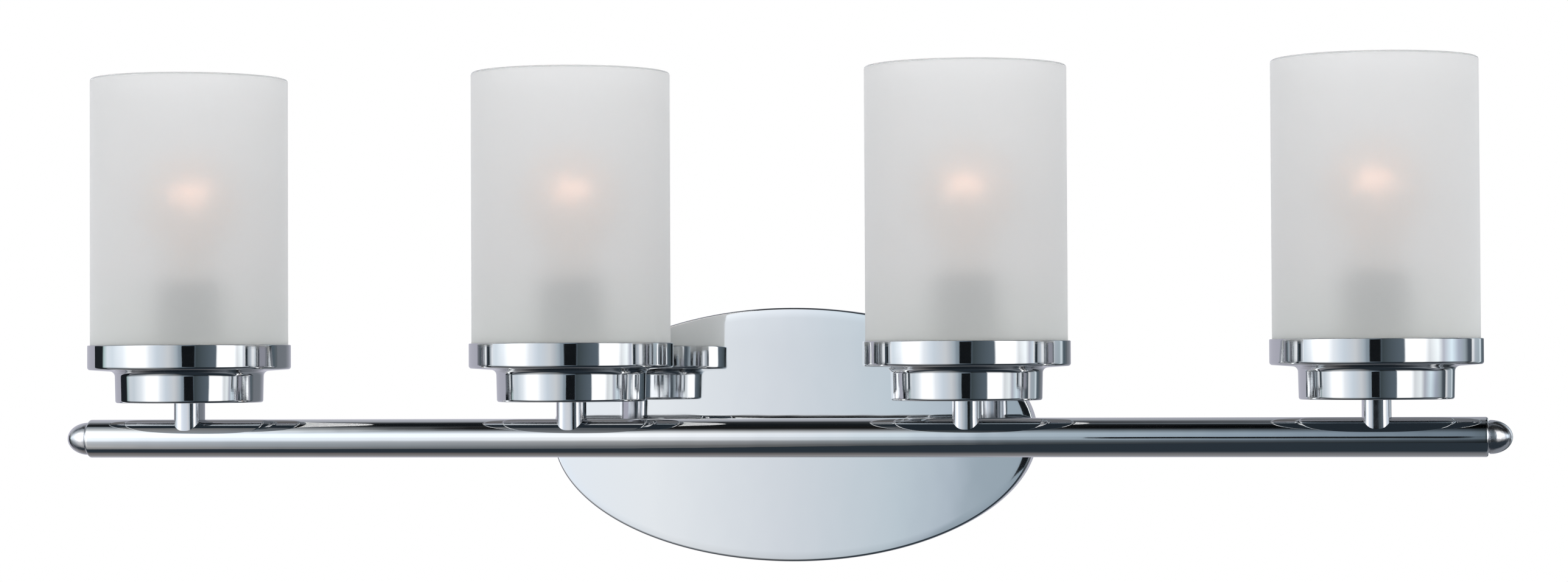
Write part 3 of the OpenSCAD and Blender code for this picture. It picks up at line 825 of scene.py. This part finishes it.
def canopy():
    """Oval pan: gently crowned front, tight rolled edge and a straight wall back to the wall."""
    half_w = (CANOPY_HIGH.x - CANOPY_LOW.x) / 2
    half_h = (CANOPY_HIGH.z - CANOPY_LOW.z) / 2
    sheet = CANOPY_SHEET
    edge = 1.4 * MM
    crown = 0.5 * MM
    steps = 240
    depth = CANOPY_DEPTH
    shoulder = depth - crown - edge
    wall_top = shoulder - 0.4 * MM
    # The front from the rolled edge in to the middle, as (inset, depth)
    shares = [k / 16 for k in range(1, 16)]
    front = [(edge + (half_h - edge) * s, depth - crown * (1 - s) ** 2) for s in shares]
    section = [(0.3 * MM, 0), (0, 0.3 * MM), (0, 1 * MM), (0, wall_top)]
    section += arc((edge, shoulder), edge, 180, 90, 9) + front
    back = [(inset, y - sheet) for inset, y in reversed(front)]
    back += arc((edge, shoulder), edge - sheet, 90, 180, 6)
    back += [(sheet, wall_top), (sheet, 0.3 * MM), (sheet - 0.3 * MM, 0)]

    def ring(inset, y):
        share = inset / half_h
        flatten = max(0, inset - edge) / (half_h - edge)
        wide = (half_w - inset) * (1 - flatten) + half_w * (1 - share) * flatten
        return [(wide * math.cos(TAU * k / steps), -y, (half_h - inset) * math.sin(TAU * k / steps))
                for k in range(steps)]

    rows = [ring(*p) for p in section]
    back_rows = [ring(*p) for p in back]
    vertices = [v for row in rows for v in row]
    faces = []
    for j in range(len(rows) - 1):
        faces += skirt(j * steps, (j + 1) * steps, steps)
    tip = len(vertices)
    vertices.append((0, -depth, 0))
    last = (len(rows) - 1) * steps
    faces += [(last + k, last + (k + 1) % steps, tip) for k in range(steps)]
    inner_tip = len(vertices)
    vertices.append((0, -depth + sheet, 0))
    start = len(vertices)
    vertices += [v for row in back_rows for v in row]
    faces += [(inner_tip, start + (k + 1) % steps, start + k) for k in range(steps)]
    for j in range(len(back_rows) - 1):
        faces += skirt(start + j * steps, start + (j + 1) * steps, steps)
    faces += skirt(start + (len(back_rows) - 1) * steps, 0, steps)
    pan = solid("backplate", vertices, faces, (PLATE_CHROME,))
    holes = [((middle(f"arm_{side}").x, 0, 0), OUT_OF_WALL, NIPPLE_R, depth + 2 * MM) for side in SIDES]
    holes += [((middle(f"cap_nut_{side}").x, 0, 0), OUT_OF_WALL, 2.6 * MM, depth + 2 * MM) for side in SIDES]
    drill(pan, holes)
    place(pan, "fixture", "canopy_chrome", "canopy")


def strap():
    """The mounting strap keeps its CAD shape, with its edges broken."""
    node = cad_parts["mounting_strap"]
    node.data.materials.clear()
    node.data.materials.append(ZINC)
    bevel = node.modifiers.new("edges", "BEVEL")
    bevel.width = 0.35 * MM
    bevel.segments = 2
    bevel.limit_method = "ANGLE"


def studs():
    low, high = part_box("studs")
    length = high.y - low.y
    radius = (high.z - low.z) / 2
    thick = 3.2 * MM
    flat = 3.7 * MM
    for side in SIDES:
        x = middle(f"cap_nut_{side}").x
        ends = (0.5 * MM, length - 0.5 * MM)
        outline = [(0, 0), (radius - 0.4 * MM, 0)] + climb(radius, *ends, 150)
        outline += [(radius - 0.4 * MM, length), (0, length)]
        cut = thread(*ends, 0.8 * MM, 0.3 * MM, radius - 0.01 * MM)
        stud = lathe(f"stud_{side}", outline, (x, 0, 0), (NUT_STEEL,), axis=OUT_OF_WALL, steps=32, warp=cut)
        place(stud, "wall_strap", "nut_steel", "studs")
        blank = [(2.15 * MM, 0)] + climb(flat, 0, thick, 8) + [(2.15 * MM, thick)]
        nut = lathe(f"stud_nut_{side}", blank, (x, -2 * MM, 0), (NUT_STEEL,), axis=OUT_OF_WALL,
                    warp=hexagon(flat, 0, thick, 0.5 * MM))
        place(nut, "wall_strap", "nut_steel", "stud_nuts")


def cap_nut(side):
    """Acorn nut: a chamfered hexagon under a low dome."""
    low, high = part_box(f"cap_nut_{side}")
    length = high.y - low.y
    flat = 5.37 * MM
    hex_h = 5.5 * MM
    bore = 2.15 * MM
    outline = [(bore, 0)] + climb(flat, 0, hex_h, 12) + dome(5.2 * MM, hex_h, length, 0, 6)
    outline += [(0, 9.5 * MM), (bore, 8.5 * MM)]
    nut = lathe(f"acorn_nut_{side}", outline, (middle(f"cap_nut_{side}").x, CANOPY_LOW.y, 0), (CUP_CHROME,),
                axis=OUT_OF_WALL, warp=hexagon(flat, 0, hex_h, 0.9 * MM))
    place(nut, f"nut_{side}", "chrome", f"cap_nut_{side}")


def ground_screw():
    x = middle("ground_screw").x
    flat = 3.4 * MM
    base = 3 * MM
    head = 2.4 * MM
    slot_floor = base + 1.6 * MM
    outline = [(0, 0), (2.1 * MM, 0), (2.1 * MM, 2 * MM), (4.6 * MM, 2 * MM), (4.6 * MM, 2.7 * MM),
               (4.2 * MM, base)]
    outline += climb(flat, base, base + head, 8)
    outline += [(2.6 * MM, base + head), (2.4 * MM, slot_floor), (0, slot_floor)]
    screw = lathe("green_ground_screw", outline, (x, 0, 0), (GREEN_SCREW,), axis=OUT_OF_WALL,
                  warp=hexagon(flat, base, base + head, 0.5 * MM))
    place(screw, "wall_strap", "ground_green", "ground_screw")


# ---- Wires ----

WIRE_R = 1 * MM
WIRE_OFF = 1.5 * MM
# The plane in the backplate that the connectors and most of the wires lie in
WIRE_Y = -11 * MM


def lead_routes(sign):
    """Along the bar, up to each lampholder, and through the left arm to a connector in the backplate."""
    y = BAR_AXIS.y + sign * WIRE_OFF
    z = sign * WIRE_OFF
    xs = [lamp_foot(i).x for i in LAMPS]
    arm_x = middle("arm_left").x
    connector_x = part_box("wire_connectors")[0].x
    end_z = sign * (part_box("wire_connectors")[1].z - 5 * MM)
    routes = [[(xs[0] + (xs[-1] - xs[0]) * k / 12, y, z) for k in range(13)]]
    routes += [[(x, y, z), (x, y, z + 10 * MM), (x, y, SOCKET_WEB)] for x in xs]
    routes += [[(arm_x, y, z), (arm_x, y + 40 * MM, z), (arm_x, -18 * MM, z), (arm_x, -13.5 * MM, z * 1.6),
                (arm_x - 1 * MM, WIRE_Y, sign * 8 * MM), (arm_x - 2 * MM, WIRE_Y + 0.5 * MM, sign * 20 * MM),
                (arm_x + 4 * MM, WIRE_Y + 0.5 * MM, end_z - sign * 5 * MM),
                (arm_x + 16 * MM, WIRE_Y, end_z + sign * 0.5 * MM), (connector_x + 5 * MM, WIRE_Y, end_z)]]
    return routes


def wires():
    black = wire("black_leads", lead_routes(1), WIRE_R, BLACK_WIRE)
    place(black, "fixture", "wire_black", "hot_leads")
    white = wire("white_leads", lead_routes(-1), WIRE_R, WHITE_WIRE)
    place(white, "fixture", "wire_white", "neutral_leads")
    x = middle("arm_right").x
    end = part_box("wire_connectors")[1]
    eye = -15.4 * MM
    route = [(x, eye, 7 * MM), (x + 0.6 * MM, WIRE_Y - 1.4 * MM, 9.5 * MM), (x + 1.5 * MM, WIRE_Y, 18 * MM),
             (x - 3 * MM, WIRE_Y, end.z - 9 * MM), (x - 14 * MM, WIRE_Y, end.z - 4.6 * MM),
             (end.x - 5 * MM, WIRE_Y, end.z - 5 * MM)]
    green = wire("green_lead", [route], WIRE_R, GREEN_WIRE)
    place(green, "fixture", "wire_green", "ground_lead")
    outline = rounded((NIPPLE_R, 0, 0), (8 * MM, 0, 0.3 * MM), (8 * MM, 1 * MM, 0.3 * MM),
                      (NIPPLE_R, 1 * MM, 0))
    lug = lathe("ground_lug", outline, (x, -16.8 * MM, 0), (BRASS,), axis=INTO_WALL, steps=64)
    place(lug, "fixture", "wire_green", "ground_lead")


def connectors():
    """Twist-on connectors with moulded ribs, open where the wires go in."""
    low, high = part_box("wire_connectors")
    radius = 5 * MM
    length = 20 * MM
    ribs = 10
    outline = rounded((radius - 1.2 * MM, 0, 0.2 * MM), (radius, 0, 0.4 * MM),
                      (radius - 0.2 * MM, 3 * MM, 0.5 * MM), (radius - 1.4 * MM, length, 1.2 * MM),
                      (0, length, 0), (0, 7 * MM, 0), (radius - 1.2 * MM, 6 * MM, 0.3 * MM), steps=5)

    def ribbed(angle, r, height):
        if r < 3.3 * MM or height < 4 * MM:
            return r
        fade = min(1, (height - 4 * MM) / (2 * MM), (length - height) / (2 * MM))
        return r - 0.35 * MM * max(0, fade) * (0.5 - 0.5 * math.cos(ribs * angle))

    def detailed(points, parts=6):
        """Splits the long straight stretches, so that the ribs can fade along them."""
        out = []
        for here, there in zip(points, points[1:] + points[:1]):
            count = parts if math.dist(here, there) > 6 * MM else 1
            out += [tuple(a + (b - a) * k / count for a, b in zip(here, there)) for k in range(count)]
        return out

    z = high.z - radius
    ends = (("hot", low.x, z, 1), ("neutral", low.x, -z, 1), ("ground", high.x, z, -1))
    for name, x, height, sign in ends:
        made = lathe(f"connector_{name}", detailed(outline), (x, WIRE_Y, height), (ORANGE,),
                     axis=(sign, 0, 0), steps=80, warp=ribbed)
        place(made, "fixture", "connector_orange", "wire_connectors")


# ---- Studio ----

def add_floor():
    """A plain pale floor far below, as in a room, that the chrome doesn't show."""
    size = 6
    drop = -1.95
    corners = [(-size, -size, drop), (size, -size, drop), (size, size, drop), (-size, size, drop)]
    mesh = bpy.data.meshes.new("floor")
    mesh.from_pydata(corners, [], [(0, 1, 2, 3)])
    shader = Shader("floor_paint", Roughness=0.8)
    shader.tint(shader.noise(3, 2), (0.84, 0.84, 0.84), (0.88, 0.88, 0.88))
    mesh.materials.append(shader.material)
    floor = linked("floor", mesh)
    floor.visible_glossy = False


BLACK = (0.008, 0.010, 0.012)
SLATE = (0.024, 0.034, 0.045)
MAUVE = (0.54, 0.54, 0.62)
DIM = (0.22, 0.24, 0.27)
WHITE = (1.60, 1.61, 1.63)
SOFT_LIGHT = (0.84, 0.85, 0.86)
BACKDROP = (1.0, 1.0, 1.01)

# Soft panels and dark gaps that stand round the front of the object, from its left to its right.
# Each entry is a place seen from above and its light, and the light runs evenly between them.
CURTAIN = (
    (-1.34, 0.30, BLACK), (-1.21, -0.06, BLACK), (-1.20, -0.10, (0.46, 0.60, 0.60)),
    (-1.16, -0.20, (0.84, 0.90, 0.96)), (-1.10, -0.32, (0.80, 0.88, 0.95)),
    (-1.02, -0.50, (1.10, 1.16, 1.22)), (-0.96, -0.66, WHITE), (-0.92, -1.02, WHITE),
    (-0.93, -1.30, (1.14, 1.19, 1.25)), (-0.95, -1.65, (0.95, 1.03, 1.12)),
    (-0.94, -1.97, (0.84, 0.93, 1.02)), (-0.75, -2.15, (0.82, 0.88, 0.95)),
    (-0.53, -2.22, (0.83, 0.86, 0.89)), (-0.35, -2.26, (0.67, 0.71, 0.76)),
    (-0.20, -2.31, (0.53, 0.61, 0.67)), (-0.13, -2.33, (0.44, 0.51, 0.58)),
    (-0.09, -2.34, (0.34, 0.41, 0.47)), (0.02, -2.37, (0.31, 0.38, 0.44)),
    (0.25, -2.18, (0.22, 0.28, 0.34)), (0.47, -1.96, (0.13, 0.17, 0.21)), (0.52, -1.90, (0.06, 0.08, 0.09)),
    (1.00, -1.34, (0.14, 0.18, 0.22)), (1.02, -1.29, WHITE), (0.96, -0.64, WHITE),
    (0.94, -0.52, (0.94, 0.97, 1.0)), (0.93, -0.38, (1.16, 1.22, 1.24)), (0.93, -0.30, (0.56, 0.58, 0.66)),
    (0.92, -0.18, (0.90, 1.05, 1.14)), (0.92, -0.08, (0.48, 0.53, 0.63)), (0.92, 0.03, (0.36, 0.42, 0.46)),
    (0.91, 0.10, (0.08, 0.10, 0.12)), (0.90, 0.17, (0.08, 0.10, 0.12)), (0.89, 0.20, (1.05, 1.06, 1.08)),
    (0.88, 0.28, (0.48, 0.54, 0.60)), (0.84, 0.44, (0.44, 0.52, 0.57)), (0.82, 0.52, (0.86, 0.96, 1.03)),
    (0.78, 0.62, (0.09, 0.13, 0.16)), (0.64, 0.86, (0.16, 0.18, 0.20)))
# How the light changes up and down, on slopes seen from the bar: the share of a place's own light that
# shows there, and the light that the far left wall adds. Slopes below LEVEL are scaled by the light's reach.
LEVEL = -0.20
LIGHT_BY_SLOPE = (
    (-1.10, 0.0, SLATE), (-1.07, 0.13, BLACK), (-0.80, 0.17, BLACK), (-0.55, 0.30, BLACK),
    (-0.40, 0.37, BLACK), (-0.27, 0.50, BLACK), (LEVEL, 0.83, BLACK), (-0.11, 0.98, BLACK),
    (0.0, 1.0, BLACK), (0.05, 1.0, BLACK), (0.13, 1.2, BLACK), (0.45, 1.2, BLACK),
    (0.7, 0.7, (0.26, 0.27, 0.28)), (1.07, 0.18, (0.40, 0.43, 0.45)), (1.35, 0.03, (0.44, 0.47, 0.49)),
    (1.73, 0.01, (0.34, 0.37, 0.40)), (2.3, 0.01, (0.24, 0.27, 0.30)), (3.3, 0.01, (0.18, 0.21, 0.24)))
# The left wall adds its light up to this height, and not in the last stretch next to the front
WALL_TOP, WALL_FRONT = 1.9, -1.8
# The light reaches furthest down at the left
REACH_LEFT, REACH_RIGHT = 2.0, 0.45
LEFT_X, RIGHT_X = -0.95, 0.41
# Places further left than this are on the left wall
WALL_X = -0.9
# The dark shape of the camera and its stand, in front of the curtain: its two sides and its two heights
CAMERA_SIDES = ((0.04, -2.34), (0.47, -1.93))
CAMERA_HEIGHTS = (-0.2, 0.14)


def panel(name, columns):
    """A standing sheet of light that only reflections show. Each column is a list of (point, light)."""
    vertices = [point for column in columns for point, _ in column]
    tall = len(columns[0])
    faces = [(k * tall + j, (k + 1) * tall + j, (k + 1) * tall + j + 1, k * tall + j + 1)
             for k in range(len(columns) - 1) for j in range(tall - 1)]
    mesh = bpy.data.meshes.new(name)
    mesh.from_pydata(vertices, [], faces)
    light = mesh.color_attributes.new("light", "FLOAT_COLOR", "POINT")
    for element, (_, colour) in zip(light.data, [pair for column in columns for pair in column]):
        element.color = (*colour, 1)
    shader = Shader(f"{name}_light", Base_Color=(0, 0, 0, 1), Specular_IOR_Level=0.0, Emission_Strength=1.0)
    own = shader.add("ShaderNodeAttribute", {"attribute_name": "light"}).outputs["Color"]
    through = shader.add("ShaderNodeLightPath").outputs["Is Transmission Ray"]
    shader.feed("Emission Color", mix(shader, through, own, BACKDROP))
    shader.material.cycles.emission_sampling = "NONE"
    mesh.materials.append(shader.material)
    made = linked(name, mesh)
    for ray in ("camera", "diffuse", "transmission", "shadow"):
        setattr(made, f"visible_{ray}", False)


def add_curtain():
    columns = []
    for x, y, colour in CURTAIN:
        ahead = abs(y - BAR_AXIS.y) + 0.12
        leftward = min(1, max(0, (RIGHT_X - x) / (RIGHT_X - LEFT_X)))
        reach = REACH_RIGHT + (REACH_LEFT - REACH_RIGHT) * leftward ** 2
        column = []
        for slope, share, added in LIGHT_BY_SLOPE:
            z = ahead * (max(slope, LEVEL) + min(0, slope - LEVEL) * reach)
            lit = x < WALL_X and y > WALL_FRONT and z < WALL_TOP
            column.append(((x, y, z), [share * own + lit * more for own, more in zip(colour, added)]))
        columns.append(column)
    panel("curtain", columns)
    panel("camera_shape", [[((x, y, z), BLACK) for z in CAMERA_HEIGHTS] for x, y in CAMERA_SIDES])


class Sky:
    """Node maths for what lies beyond the panels, over the direction that a ray leaves in."""

    def __init__(self):
        world = bpy.data.worlds.new("studio")
        bpy.context.scene.world = world
        world.use_nodes = True
        self.nodes = world.node_tree.nodes
        self.links = world.node_tree.links
        self.background = self.nodes["Background"]
        coords = self.nodes.new("ShaderNodeTexCoord").outputs["Generated"]
        split = self.nodes.new("ShaderNodeSeparateXYZ")
        self.links.new(coords, split.inputs[0])
        self.x, self.y, self.z = split.outputs

    def ramp(self, value, low, high, stops):
        """A colour that runs through (value, colour) stops between low and high."""
        share = self.nodes.new("ShaderNodeMapRange")
        self.links.new(value, share.inputs["Value"])
        share.inputs["From Min"].default_value = low
        share.inputs["From Max"].default_value = high
        made = self.nodes.new("ShaderNodeValToRGB")
        self.links.new(share.outputs["Result"], made.inputs["Fac"])
        elements = made.color_ramp.elements
        elements.remove(elements[-1])
        for k, (where, colour) in enumerate(stops):
            position = (where - low) / (high - low)
            element = elements.new(position) if k else elements[0]
            element.position = position
            element.color = (*colour, 1)
        return made.outputs["Color"]


def add_surroundings():
    """White to the camera, an even soft light for the glass, and for the chrome what lies past the panels."""
    sky = Sky()
    front = sky.ramp(sky.z, -1, 1, [
        (-1, SLATE), (0.6, SLATE), (0.95, BLACK), (0.992, BLACK), (0.999, (0.11, 0.13, 0.15)),
        (1, (0.13, 0.15, 0.17))])
    back = sky.ramp(sky.z, -1, 1, [
        (-1, (0.04, 0.045, 0.05)), (-0.93, (0.15, 0.14, 0.14)), (-0.72, (0.27, 0.27, 0.28)), (-0.3, MAUVE),
        (0.3, MAUVE), (0.82, (0.36, 0.38, 0.42)), (0.95, BLACK), (1, BLACK)])
    to_right = sky.ramp(sky.x, -0.2, 0.35, [(-0.2, (0, 0, 0)), (0.35, (1, 1, 1))])
    behind = sky.ramp(sky.y, -0.02, 0.2, [(-0.02, (0, 0, 0)), (0.2, (1, 1, 1))])
    surroundings = mix(sky, behind, front, mix(sky, to_right, back, DIM))
    path = sky.nodes.new("ShaderNodeLightPath")
    view = mix(sky, path.outputs["Is Glossy Ray"], SOFT_LIGHT, surroundings)
    view = mix(sky, path.outputs["Is Transmission Ray"], view, BACKDROP)
    sky.links.new(mix(sky, path.outputs["Is Camera Ray"], view, (1, 1, 1)), sky.background.inputs["Color"])


def main():
    bpy.context.scene.view_settings.view_transform = "Standard"
    add_camera()
    add_surroundings()
    add_curtain()
    add_floor()
    for i in LAMPS:
        for make in (glass_shade, shade_gasket, fitter_cup, lamp_post, socket_body, socket_contacts,
                     retaining_ring, bulb_glass, bulb_base, filament_mount):
            make(i)
    bar_tube()
    canopy()
    for side in SIDES:
        end_cap(side)
        arm(side)
        cap_nut(side)
    nipples_and_nuts()
    strap()
    studs()
    ground_screw()
    wires()
    connectors()


main()
